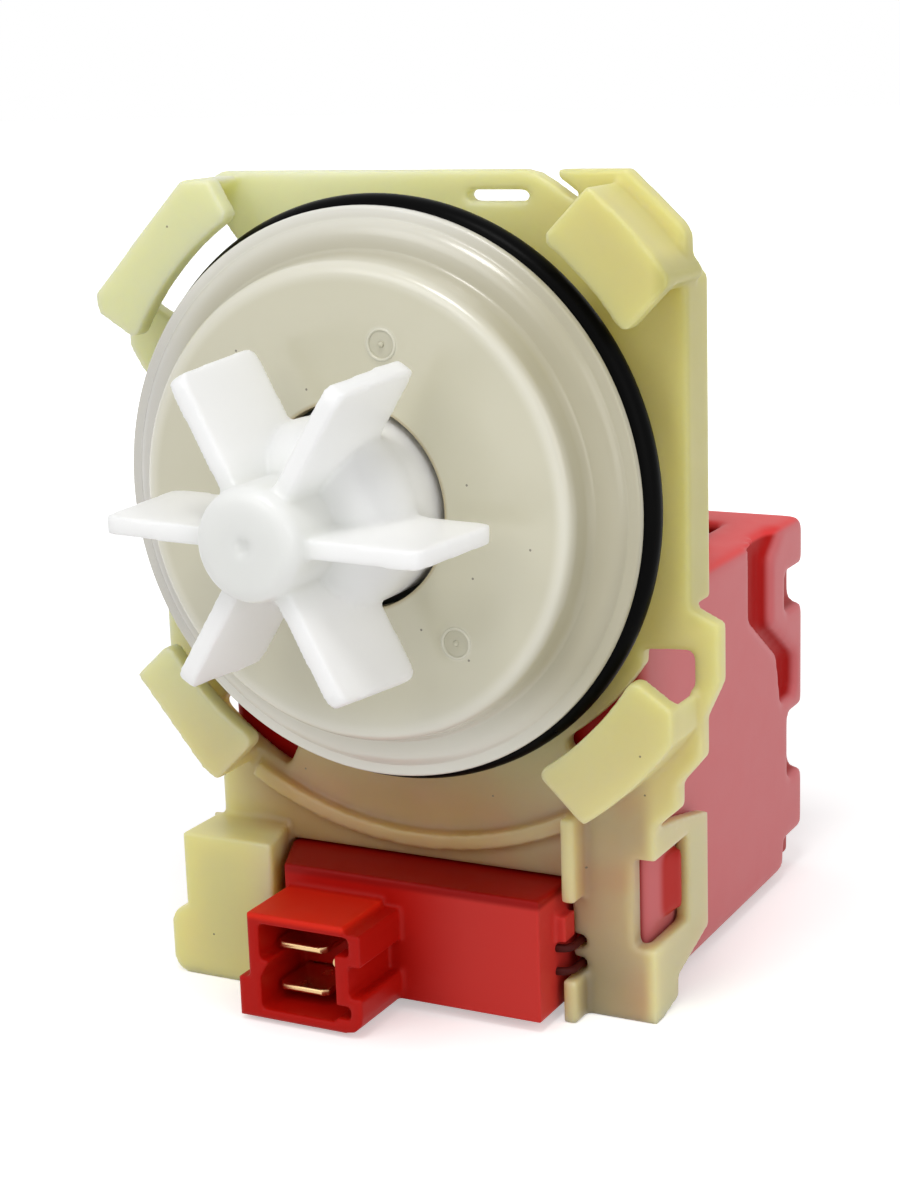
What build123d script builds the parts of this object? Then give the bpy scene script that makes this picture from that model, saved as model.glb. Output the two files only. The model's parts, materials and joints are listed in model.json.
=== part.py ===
from build123d import *
from math import cos, radians, sin
import os

# Washer drain pump: a wet-rotor pump motor on a snap-in nylon bracket.
# The origin is on the pump's axis, in the middle of the cover's locating lip.
# The impeller points along -Y, the motor lies along +Y, and +Z is up.
# Every length is in millimetres and every angle in degrees.

os.makedirs("parts", exist_ok=True)

# Bracket plate: driving sizes
plate_setback = 7.8           # from the lip's middle to the plate's front face
plate_thickness = 2.4
foot_height = 1.0             # standing face below the coil cover's floor
seat_gap = 0.3                # clearance between neighbouring parts of the fixed frame
press_gap = 0.05              # clearance of a part pressed into its seat
running_gap = 0.05            # radial clearance of the shaft in its bushes
end_float = 0.2               # axial clearance beside the rotor
overrun = 1.0                 # how far a cut runs past the face that it opens

plate_front = plate_setback
plate_rear = plate_front + plate_thickness

# Cover and its seal
lip_radius = 30.8
lip_thickness = 1.2
lip_bevel = 0.35
drum_radius = 25.5
drum_front_ahead = 13.6       # front of the raised drum, ahead of the plate
drum_rounding = 1.9
drum_foot_spread = 0.9
drum_foot_ahead = 9.6
band_width = 1.2              # flat of the lip's front
cover_dish = 0.5
cover_hole_radius = 11.0
cover_wall = 2.2
seal_section_radius = 1.8
seal_proud = 0.9              # seal beyond the lip
rear_flange_thickness = 3.4
rear_flange_setback = 1.9
mould_mark_radius = 1.6
mould_mark_depth = 0.15
mould_mark_distances = [17.7, 18.1]
mould_mark_angles = [75.0, -48.4]
cover_inner_step = 5.0

# Wet rotor: shaft, magnet and bearings
shaft_radius = 2.0
magnet_radius = 12.5
magnet_bore_radius = 5.0
magnet_length = 24.0
carrier_lead = 0.3            # carrier sleeve showing ahead of its front flange
rotor_air_gap = 0.7
can_wall = 1.1
can_flange_inset = 1.5         # inside the drum's radius
can_flange_thickness = 2.0
carrier_flange_radius = 11.0
carrier_flange_thickness = 1.5
bush_radius = 4.5
bush_length = 7.2
rear_bush_length = 5.4
rubber_radius = 7.5
rubber_inset = 0.3
washer_thickness = 0.8
washer_radius = 4.0
can_end_wall = 1.6
holder_flange_radius = 16.0
holder_flange_thickness = 2.0
holder_length = 10.0
holder_web_radius = 3.0
seal_pocket_radius = 6.0
seal_pocket_depth = 3.4
holder_web_thickness = 3.0
front_bush_behind = 2.7

# Impeller and its lost-motion drive
impeller_reach = 34.1         # tip of the nose, ahead of the plate
nose_radius = 5.8
nose_rounding = 1.6
nose_end_ahead = 26.0
skirt_radius = 10.3
skirt_shoulder_ahead = 17.0
skirt_rear_ahead = 8.0
hub_cavity_radius = 8.3
hub_cavity_ahead = 22.0
vane_count = 6
vane_angle = -2.0
vane_thickness = 2.0
vane_front_ahead = 31.8
vane_rear_ahead = 17.4
vane_front_radius = 17.9
vane_rear_radius = 18.9
vane_rounding = 1.3
vane_root_radius = 4.0
shaft_tip_ahead = 30.6
shaft_tip_gap = 0.5
dimple_radius = 0.9
dimple_depth = 0.4
hub_cap_thickness = 1.5
hub_cap_bore_radius = 3.2
dog_boss_radius = 3.6
dog_lug_radius = 7.6
dog_front_ahead = 21.4
dog_rear_ahead = 11.0
stop_inner_radius = 4.3
stop_angle = 270.0
stop_half_angle = 45.0
dog_angle = 90.0
dog_half_angle = 44.0

# Stator
core_depth = 24.0
core_bore_gap = 0.3
leg_inner = 7.5
leg_outer = 17.5
arm_outer = 20.4
arm_top = 16.0
arm_bottom = 12.0
arm_corner = 4.0
pole_slot_half_width = 2.2
shoe_bottom = 18.3
yoke_top = 44.6
yoke_bottom = 54.9
core_hole_radius = 1.7
rivet_radius = 1.6
rivet_head_radius = 2.6
rivet_head_height = 0.8
rivet_across = 13.8
rivet_drop = 49.8
screw_across = 16.9
screw_rise = 6.0
screw_radius = 1.5
screw_head_radius = 2.7
screw_head_height = 2.2
screw_slot_width = 0.8
screw_slot_depth = 1.0
screw_bite = 8.0
post_radius = 3.0

bobbin_wall = 1.0
bobbin_flange = 1.2
bobbin_gap = 0.2
winding_build = 3.4
cutout_width = 4.2
cutout_depth = 12.0
cutout_height = 11.0
cutout_top = 24.0
cutout_rounding = 0.8

# Coil cover, red
coil_side_gap = 0.5           # between the windings and the side walls
box_plate_gap = 0.4           # between the plate and the cover's front wall
box_tail = 7.6                # full-height part behind the saddle
arm_gap = 0.5                 # between the core's arms and the cover's shoulders
shoe_gap = 0.5                # between the core's shoes and the lids
box_side_wall = 3.5
box_wall = 1.8
box_floor = 2.4
saddle_side_gap = 0.6
saddle_wall = 1.5
lid_thickness = 1.5
box_corner = 1.4
foot_bead_width = 40.0
foot_bead_depth = 4.0
foot_bead_inset = 1.0
notch_depth = 2.0
channel_depth = 1.8
lug_height = 1.7
lug_front_behind = 4.0
lug_rear_behind = 9.8
lug_top = 41.4
lug_bottom = 48.4

# Bracket: hooks, openings, skirt
hook_clearance = 2.0          # from the seal to the hooks' lips
hook_lip_reach = 7.3
hook_wall = 2.5
hook_reach = 7.5
hook_lip_thickness = 2.5
hook_rounding = 1.0
hook_angles = [(32.0, 54.0), (120.0, 152.0), (213.6, 239.5), (301.8, 329.2)]
hook_rim_angles = [(34.5, 52.4), (120.0, 151.4), (215.3, 236.8), (304.4, 328.5)]
hook_flat_angles = [0.0, 135.6, 218.6, 0.0]
hook_flat_depths = [7.6, 1.6, 1.4, 7.6]      # cut off each hook, from its outer radius
hook_corner_angles = [0.0, 188.6, 218.6, 0.0]
hook_corner_depths = [7.6, 9.7, 1.4, 7.6]
hook_crown_depth = 7.8        # cut off level at the top, from the outer radius
opening_clearance = 0.7
opening_angles = [(38.0, 52.0), (128.3, 150.0), (226.0, 243.0), (303.0, 328.5)]
rim_wall = 2.0
rim_depth = 6.0
rim_top = 24.3
rim_slope_wide = 1.4          # slope at the right rim's top end
rim_slope_high = 1.8
right_inset = 0.5             # the plate's right side, inside its half width
rim_bottom = 11.4
left_rim_bottom = 22.0
left_rim_top = 10.0
ear_overhang = 2.7             # beyond the plate's side
ear_top = 12.9
ear_bottom = 19.1
ear_foot_overhang = 0.8
ear_foot_bottom = 27.4
block_bottom = 30.8
block_inset = 2.0
block_heel_bottom = 33.4
slot_across = 11.5
slot_inset = 3.0              # below the top edge
slot_length = 7.2
slot_height = 1.2
ridge_inset = 1.4             # inside the hooks' outer radius
ridge_width = 1.8
ridge_height = 1.4
ridge_angles = (238.5, 298.0)
collar_wall = 2.0
collar_depth = 5.0
rib_count = 8
rib_angle = 22.5
rib_width = 1.8
rib_depth = 3.0
rib_reach = 30.0

skirt_wall = 1.8
skirt_top = 36.0
skirt_side_top = 37.3
skirt_side_rear_top = 39.0
skirt_side_depth = 16.0
skirt_step_drop = 52.7
skirt_foot_drop = 55.4
skirt_foot_depth = 6.9
skirt_toe_depth = 2.6
skirt_heel_drop = 57.8
window_front = 0.8            # left window only; the right one opens through the plate too
window_margin = 0.8
window_rear = 10.2
window_top = 39.8
window_bottom = 50.0
neck_half_width = 26.6        # the plate's left edge between the hook and the skirt
port_rib_left = 18.5          # rib along the port's right side
port_rib_right = 20.1
port_rib_reach = 3.3
port_rib_top = 35.0
port_rib_gap_top = 44.7
port_rib_gap_bottom = 53.7
port_left = 17.8
port_right = 18.3
port_top = 43.0
left_block_reach = 7.5
left_block_top = 41.2
left_block_step_drop = 50.4
left_block_step = 1.6
left_block_inset = 0.6
left_heel_rounding = 2.0
left_block_wall = 2.0
left_block_lean = 2.1
block_rounding = 1.2

# Terminal block and its contacts
block_left = 17.3
block_right = 17.6
block_top = 43.3
block_bottom_drop = 57.3
block_ahead = 7.1
block_shell = 1.6
block_lean = 3.1
lug_side_reach = 1.2
lug_side_top = 46.4
lug_side_bottom = 49.4
lug_side_front = 3.0
shroud_left = 13.6
shroud_right = 0.6
shroud_top = 45.7
shroud_step_width = 2.0
shroud_step_drop = 0.8
shroud_bottom = 58.0
shroud_ahead = 16.5
socket_left = 12.2
socket_right = 2.6
socket_top = 46.9
socket_bottom = 56.9
socket_depth = 9.4
coding_slot_reach = 0.8
coding_slot_upper_bottom = 49.1
coding_slot_lower_top = 54.9
coding_slot_lower_bottom = 56.4
groove_top = 50.2
groove_bottom = 53.8
shroud_lug_reach = 1.4
shroud_lug_top = 53.4
shroud_heel_rounding = 2.0
guide_rib_reach = 1.2
guide_rib_top = 51.1
guide_rib_bottom = 53.2
tab_width = 6.3
tab_thickness = 0.8
tab_pitch = 5.0
tab_left = 11.75
tab_upper_drop = 50.2
tab_ahead = 13.6
tab_behind = 8.0
tab_taper = 0.7
tab_slot_gap = 0.1
pin_radius = 0.6
pin_across = 5.4
pin_drop = 52.5
pin_ahead = 11.0
lead_radius = 0.45
lead_across = 19.1
lead_upper_drop = 50.2
lead_lower_drop = 52.9
lead_ahead = 2.6
lead_slot_gap = 0.3

# Radii and edges that follow from the cover's lip, from the axis out
plate_side_setback = 8.0      # plate's side inside the hooks' outer radius
plate_crown_setback = 7.0
seal_outer_radius = lip_radius + seal_proud
can_flange_radius = drum_radius - can_flange_inset
hook_inner_radius = seal_outer_radius + hook_clearance
hook_outer_radius = hook_inner_radius + hook_lip_reach
opening_inner_radius = seal_outer_radius + opening_clearance
ridge_inner_radius = hook_outer_radius - ridge_inset
ridge_outer_radius = ridge_inner_radius + ridge_width
plate_half_width = hook_outer_radius - plate_side_setback
plate_rise = hook_outer_radius - plate_crown_setback
ear_reach = plate_half_width + ear_overhang
ear_foot_across = plate_half_width + ear_foot_overhang
block_across = plate_half_width - block_inset
slot_rise = plate_rise - slot_inset

# Heights and widths that follow from the core and its coils, from the axis out and down
lid_top = shoe_bottom + shoe_gap
saddle_floor = lid_top + lid_thickness
bobbin_top = saddle_floor + seat_gap
bobbin_bottom = yoke_top - seat_gap
box_top = arm_bottom + arm_gap
box_bottom = yoke_bottom + seat_gap + box_floor
base_drop = box_bottom + foot_height
leg_middle = (leg_inner + leg_outer) / 2
leg_half_width = (leg_outer - leg_inner) / 2
spool_half_width = leg_half_width + bobbin_gap + bobbin_wall
coil_half_width = spool_half_width + winding_build
inner_half_width = leg_middle + coil_half_width + coil_side_gap
box_half_width = inner_half_width + box_side_wall
saddle_half_width = leg_outer + saddle_side_gap
skirt_half_width = box_half_width + seat_gap + skirt_wall


# Shared shapes
def at_depth(depth):
    """Drawing plane seen from the front, at this distance along +Y."""
    return Plane.XZ.offset(-depth)


def polar(radius, angle):
    return (radius * cos(radians(angle)), radius * sin(radians(angle)))


def sector(inner, outer, start, end, rounding=0.0):
    """Ring sector in the open sketch, with its corners rounded."""
    with BuildSketch(mode=Mode.PRIVATE) as shape:
        with BuildLine():
            CenterArc((0, 0), outer, start, end - start)
            Line(polar(outer, end), polar(inner, end))
            CenterArc((0, 0), inner, end, start - end)
            Line(polar(inner, start), polar(outer, start))
        make_face()
        if rounding > 0:
            fillet(shape.vertices(), radius=rounding)
    add(shape.sketch)


def ring(outer, inner, front, rear):
    """Plain ring round the pump's axis."""
    with BuildPart() as piece:
        with BuildSketch(at_depth(rear)):
            Circle(outer)
            Circle(inner, mode=Mode.SUBTRACT)
        extrude(amount=rear - front)
    return piece


def turned(points):
    """Solid of revolution round the pump's axis, from (radius, depth) points."""
    with BuildPart() as piece:
        with BuildSketch(Plane.XY):
            with BuildLine():
                Polyline(*points, close=True)
            make_face()
        revolve(axis=Axis.Y)
    return piece


def block_between(left, right, front, rear, bottom, top, mode=Mode.ADD):
    """Box from its six sides, in the open part."""
    with Locations(((left + right) / 2, (front + rear) / 2, (bottom + top) / 2)):
        Box(right - left, rear - front, top - bottom, mode=mode)


def finish(piece, name):
    piece.part.label = name
    export_step(piece.part, f"parts/{name}.step")


# Front cover: lip, seal groove, rear flange and raised drum
lip_front = -lip_thickness / 2
lip_rear = lip_thickness / 2
groove_rear = plate_front - rear_flange_thickness
neck_radius = seal_outer_radius - 2 * seal_section_radius - press_gap
drum_front = plate_front - drum_front_ahead
drum_foot = plate_front - drum_foot_ahead

with BuildPart() as front_cover:
    with BuildSketch(Plane.XY):
        with BuildLine():
            Polyline(
                (cover_hole_radius, drum_front + cover_wall + cover_dish),
                (cover_hole_radius, drum_front + cover_dish),
                (drum_radius - drum_rounding, drum_front),
            )
            RadiusArc(
                (drum_radius - drum_rounding, drum_front),
                (drum_radius, drum_front + drum_rounding),
                -drum_rounding,
            )
            Polyline(
                (drum_radius, drum_front + drum_rounding),
                (drum_radius + drum_foot_spread, drum_foot),
                (lip_radius - band_width, lip_front),
                (lip_radius - lip_bevel, lip_front),
                (lip_radius, lip_front + lip_bevel),
                (lip_radius, lip_rear),
                (neck_radius, lip_rear),
                (neck_radius, groove_rear),
                (lip_radius - rear_flange_setback, groove_rear),
                (lip_radius - rear_flange_setback, plate_front),
                (can_flange_radius + press_gap, plate_front),
                (can_flange_radius + press_gap, plate_front - cover_inner_step),
                (drum_radius - cover_wall, plate_front - cover_inner_step - cover_wall),
                (drum_radius - cover_wall, drum_front + cover_wall + cover_dish),
                (cover_hole_radius, drum_front + cover_wall + cover_dish),
            )
        make_face()
    revolve(axis=Axis.Y)
    with BuildSketch(at_depth(drum_front - overrun)):
        for mark_radius, mark_angle in zip(mould_mark_distances, mould_mark_angles):
            with Locations(polar(mark_radius, mark_angle)):
                Circle(mould_mark_radius)
    extrude(amount=-(overrun + cover_dish + mould_mark_depth), mode=Mode.SUBTRACT)
finish(front_cover, "front_cover")

# Seal ring in the cover's groove
seal_centre_radius = seal_outer_radius - seal_section_radius
with BuildPart() as cover_o_ring:
    with BuildSketch(Plane.XY):
        with Locations((seal_centre_radius, (lip_rear + groove_rear) / 2)):
            Circle(seal_section_radius)
    revolve(axis=Axis.Y)
finish(cover_o_ring, "cover_o_ring")

# Rotor can: closed tube with a flange on the plate and a bearing pocket at its end
can_inner_radius = magnet_radius + rotor_air_gap
can_outer_radius = can_inner_radius + can_wall
front_bush_front = plate_front + front_bush_behind
front_bush_rear = front_bush_front + bush_length
front_washer_front = front_bush_rear + end_float
carrier_front = front_washer_front + washer_thickness + end_float
magnet_front = carrier_front + carrier_lead + carrier_flange_thickness
magnet_rear = magnet_front + magnet_length
rear_washer_front = magnet_rear + carrier_flange_thickness + end_float
rear_bush_front = rear_washer_front + washer_thickness + end_float
rear_bush_rear = rear_bush_front + rear_bush_length
can_step = rear_bush_front - seat_gap
can_rear = rear_bush_rear + end_float + can_end_wall
rotor_can = turned([
    (can_inner_radius, plate_front - can_flange_thickness),
    (can_flange_radius, plate_front - can_flange_thickness),
    (can_flange_radius, plate_front),
    (can_outer_radius, plate_front),
    (can_outer_radius, can_step + can_wall),
    (rubber_radius + press_gap + can_end_wall, can_step + can_wall),
    (rubber_radius + press_gap + can_end_wall, can_rear),
    (0, can_rear),
    (0, can_rear - can_end_wall),
    (rubber_radius + press_gap, can_rear - can_end_wall),
    (rubber_radius + press_gap, can_step),
    (can_inner_radius, can_step),
])
finish(rotor_can, "rotor_can")

# Front bearing holder, pressed into the can's mouth
holder_front = plate_front - can_flange_thickness - holder_flange_thickness
holder_rear = plate_front + holder_length
seal_pocket_rear = holder_front + seal_pocket_depth
holder_pocket_front = seal_pocket_rear + holder_web_thickness
bearing_holder = turned([
    (seal_pocket_radius + press_gap, holder_front),
    (holder_flange_radius, holder_front),
    (holder_flange_radius, plate_front - can_flange_thickness),
    (can_inner_radius - press_gap, plate_front - can_flange_thickness),
    (can_inner_radius - press_gap, holder_rear),
    (rubber_radius + press_gap, holder_rear),
    (rubber_radius + press_gap, holder_pocket_front),
    (holder_web_radius, holder_pocket_front),
    (holder_web_radius, seal_pocket_rear),
    (seal_pocket_radius + press_gap, seal_pocket_rear),
])
finish(bearing_holder, "bearing_holder")

shaft_seal = ring(seal_pocket_radius, shaft_radius + running_gap,
                  holder_front, seal_pocket_rear - press_gap)
finish(shaft_seal, "shaft_seal")

# Bearings, each a bush in a rubber ring, and the washers that the rotor runs against
front_bush = ring(bush_radius, shaft_radius + running_gap, front_bush_front, front_bush_rear)
finish(front_bush, "front_bearing_bush")
rear_bush = ring(bush_radius, shaft_radius + running_gap, rear_bush_front, rear_bush_rear)
finish(rear_bush, "rear_bearing_bush")
front_rubber = ring(rubber_radius, bush_radius + press_gap,
                    front_bush_front + rubber_inset, front_bush_rear - rubber_inset)
finish(front_rubber, "front_bearing_rubber")
rear_rubber = ring(rubber_radius, bush_radius + press_gap,
                   rear_bush_front + rubber_inset, rear_bush_rear - rubber_inset)
finish(rear_rubber, "rear_bearing_rubber")

front_washer = ring(washer_radius, shaft_radius + running_gap,
                    front_washer_front, front_washer_front + washer_thickness)
finish(front_washer, "front_thrust_washer")
rear_washer = ring(washer_radius, shaft_radius + running_gap,
                   rear_washer_front, rear_washer_front + washer_thickness)
finish(rear_washer, "rear_thrust_washer")

# Shaft
shaft_front = plate_front - shaft_tip_ahead
shaft_rear = rear_bush_rear - end_float
with BuildPart() as rotor_shaft:
    with BuildSketch(at_depth(shaft_rear)):
        Circle(shaft_radius)
    extrude(amount=shaft_rear - shaft_front)
    chamfer(rotor_shaft.edges().filter_by(GeomType.CIRCLE), length=end_float)
finish(rotor_shaft, "rotor_shaft")

# Magnet on its plastic carrier, with an end ring
magnet_carrier = turned([
    (shaft_radius + press_gap, carrier_front),
    (magnet_bore_radius - press_gap, carrier_front),
    (magnet_bore_radius - press_gap, magnet_front - carrier_flange_thickness),
    (carrier_flange_radius, magnet_front - carrier_flange_thickness),
    (carrier_flange_radius, magnet_front),
    (magnet_bore_radius - press_gap, magnet_front),
    (magnet_bore_radius - press_gap, magnet_rear),
    (shaft_radius + press_gap, magnet_rear),
])
finish(magnet_carrier, "magnet_carrier")
rotor_magnet = ring(magnet_radius, magnet_bore_radius, magnet_front, magnet_rear)
finish(rotor_magnet, "rotor_magnet")
magnet_end_ring = ring(carrier_flange_radius, shaft_radius + press_gap,
                       magnet_rear, magnet_rear + carrier_flange_thickness)
finish(magnet_end_ring, "magnet_end_ring")

# Drive dog on the shaft: its lug pushes the impeller's stop after part of a turn
dog_front = plate_front - dog_front_ahead
dog_rear = plate_front - dog_rear_ahead
with BuildPart() as drive_dog:
    with BuildSketch(at_depth(dog_rear)):
        Circle(dog_boss_radius)
        sector(shaft_radius + press_gap, dog_lug_radius,
               dog_angle - dog_half_angle, dog_angle + dog_half_angle)
        Circle(shaft_radius + press_gap, mode=Mode.SUBTRACT)
    extrude(amount=dog_rear - dog_front)
finish(drive_dog, "drive_dog")

# Impeller: nose, domed skirt, radial vanes and the stop inside its hub
nose_front = plate_front - impeller_reach
nose_end = plate_front - nose_end_ahead
skirt_shoulder = plate_front - skirt_shoulder_ahead
skirt_rear = plate_front - skirt_rear_ahead
cavity_front = plate_front - hub_cavity_ahead
vane_front = plate_front - vane_front_ahead
vane_rear = plate_front - vane_rear_ahead
skirt_dome = skirt_shoulder - nose_end


def vane_plane(angle):
    return Plane(
        origin=(0, 0, 0),
        x_dir=(cos(radians(angle)), 0, sin(radians(angle))),
        z_dir=(-sin(radians(angle)), 0, cos(radians(angle))),
    )


with BuildPart() as impeller:
    with BuildSketch(Plane.XY):
        with BuildLine():
            Polyline((0, skirt_rear), (0, nose_front), (nose_radius - nose_rounding, nose_front))
            RadiusArc(
                (nose_radius - nose_rounding, nose_front),
                (nose_radius, nose_front + nose_rounding),
                -nose_rounding,
            )
            Line((nose_radius, nose_front + nose_rounding), (nose_radius, nose_end))
            RadiusArc((nose_radius, nose_end), (skirt_radius, skirt_shoulder), -skirt_dome)
            Polyline((skirt_radius, skirt_shoulder), (skirt_radius, skirt_rear), (0, skirt_rear))
        make_face()
    revolve(axis=Axis.Y)
    for vane in range(vane_count):
        with BuildSketch(vane_plane(vane_angle + vane * 360 / vane_count)) as blade:
            with BuildLine():
                Polyline(
                    (vane_root_radius, vane_front),
                    (vane_front_radius, vane_front),
                    (vane_rear_radius, vane_rear),
                    (vane_root_radius, vane_rear),
                    close=True,
                )
            make_face()
            fillet(blade.vertices().sort_by(Axis.X)[-2:], radius=vane_rounding)
        extrude(amount=vane_thickness / 2, both=True)
    with BuildSketch(at_depth(skirt_rear)):
        Circle(hub_cavity_radius)
    extrude(amount=skirt_rear - cavity_front, mode=Mode.SUBTRACT)
    with BuildSketch(at_depth(skirt_rear)):
        Circle(shaft_radius + running_gap)
    extrude(amount=skirt_rear - shaft_front + shaft_tip_gap, mode=Mode.SUBTRACT)
    with BuildSketch(at_depth(dog_rear)):
        sector(stop_inner_radius, hub_cavity_radius + press_gap,
               stop_angle - stop_half_angle, stop_angle + stop_half_angle)
    extrude(amount=dog_rear - cavity_front + press_gap)
    with BuildSketch(at_depth(nose_front + dimple_depth)):
        Circle(dimple_radius)
    extrude(amount=dimple_depth, mode=Mode.SUBTRACT)
finish(impeller, "impeller")

impeller_hub_cap = ring(hub_cavity_radius - press_gap, hub_cap_bore_radius,
                        skirt_rear - hub_cap_thickness, skirt_rear)
finish(impeller_hub_cap, "impeller_hub_cap")

# Lamination pack: yoke, two legs and two pole arms round the can
core_middle = (magnet_front + magnet_rear) / 2
core_front = core_middle - core_depth / 2
core_rear = core_middle + core_depth / 2
core_bore_radius = can_outer_radius + core_bore_gap
right_outline = [
    (pole_slot_half_width, -shoe_bottom),
    (leg_inner, -shoe_bottom),
    (leg_inner, -yoke_top),
    (0, -yoke_top),
    (0, -yoke_bottom),
    (leg_outer, -yoke_bottom),
    (leg_outer, -arm_bottom),
    (arm_outer, -arm_bottom),
    (arm_outer, arm_top - arm_corner),
    (arm_outer - arm_corner, arm_top),
    (pole_slot_half_width, arm_top),
]
rivet_places = [(side * rivet_across, -rivet_drop) for side in (-1, 1)]
screw_places = [(side * screw_across, screw_rise) for side in (-1, 1)]
with BuildPart() as stator_core:
    with BuildSketch(at_depth(core_rear)):
        with BuildLine():
            Polyline(*right_outline, close=True)
        make_face()
        mirror(about=Plane.YZ)
        Circle(core_bore_radius, mode=Mode.SUBTRACT)
        with Locations(*rivet_places, *screw_places):
            Circle(core_hole_radius, mode=Mode.SUBTRACT)
    extrude(amount=core_depth)
finish(stator_core, "stator_core")

with BuildPart() as core_rivets:
    with BuildSketch(at_depth(core_rear + rivet_head_height)):
        with Locations(*rivet_places):
            Circle(rivet_radius)
    extrude(amount=core_depth + 2 * rivet_head_height)
    with BuildSketch(at_depth(core_rear + rivet_head_height)):
        with Locations(*rivet_places):
            Circle(rivet_head_radius)
    extrude(amount=rivet_head_height)
    with BuildSketch(at_depth(core_front)):
        with Locations(*rivet_places):
            Circle(rivet_head_radius)
    extrude(amount=rivet_head_height)
finish(core_rivets, "core_rivets")

# Long screws from behind the core into the bracket's posts
screw_tip = core_front - screw_bite
with BuildPart() as core_screws:
    with BuildSketch(at_depth(core_rear)):
        with Locations(*screw_places):
            Circle(screw_radius)
    extrude(amount=core_rear - screw_tip)
    with BuildSketch(at_depth(core_rear + screw_head_height)):
        with Locations(*screw_places):
            Circle(screw_head_radius)
    extrude(amount=screw_head_height)
    with BuildSketch(at_depth(core_rear + screw_head_height)):
        with Locations(*screw_places):
            Rectangle(2 * screw_head_radius, screw_slot_width)
            Rectangle(screw_slot_width, 2 * screw_head_radius)
    extrude(amount=screw_slot_depth, mode=Mode.SUBTRACT)
finish(core_screws, "core_screws")

# Bobbins and windings, one of each on either leg
spool_half_depth = core_depth / 2 + bobbin_gap + bobbin_wall
coil_half_depth = spool_half_depth + winding_build


def level(drop):
    """Drawing plane seen from above, at this distance below the axis."""
    return Plane.XY.offset(-drop)


for side, place in ((-1, "left"), (1, "right")):
    with BuildPart() as bobbin:
        with BuildSketch(level(bobbin_bottom)):
            with Locations((side * leg_middle, core_middle)):
                Rectangle(2 * spool_half_width, 2 * spool_half_depth)
        extrude(amount=bobbin_bottom - bobbin_top)
        for flange_drop in (bobbin_bottom, bobbin_top + bobbin_flange):
            with BuildSketch(level(flange_drop)):
                with Locations((side * leg_middle, core_middle)):
                    Rectangle(2 * coil_half_width, 2 * coil_half_depth)
            extrude(amount=bobbin_flange)
        with BuildSketch(level(bobbin_bottom)):
            with Locations((side * leg_middle, core_middle)):
                Rectangle(2 * (leg_half_width + bobbin_gap), core_depth + 2 * bobbin_gap)
        extrude(amount=bobbin_bottom - bobbin_top, mode=Mode.SUBTRACT)
    finish(bobbin, f"{place}_bobbin")

    winding_bottom = bobbin_bottom - bobbin_flange - press_gap
    winding_top = bobbin_top + bobbin_flange + press_gap
    with BuildPart() as winding:
        with BuildSketch(level(winding_bottom)):
            with Locations((side * leg_middle, core_middle)):
                RectangleRounded(2 * coil_half_width - bobbin_gap,
                                 2 * coil_half_depth - bobbin_gap, winding_build)
                Rectangle(2 * (spool_half_width + press_gap),
                          2 * (spool_half_depth + press_gap), mode=Mode.SUBTRACT)
        extrude(amount=winding_bottom - winding_top)
    finish(winding, f"{place}_winding")

# Thermal cut-out between the two windings
with BuildPart() as thermal_cutout:
    with Locations((0, core_middle, -cutout_top - cutout_height / 2)):
        Box(cutout_width, cutout_depth, cutout_height)
    fillet(thermal_cutout.edges().filter_by(Axis.X), radius=cutout_rounding)
finish(thermal_cutout, "thermal_cutout")

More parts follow.
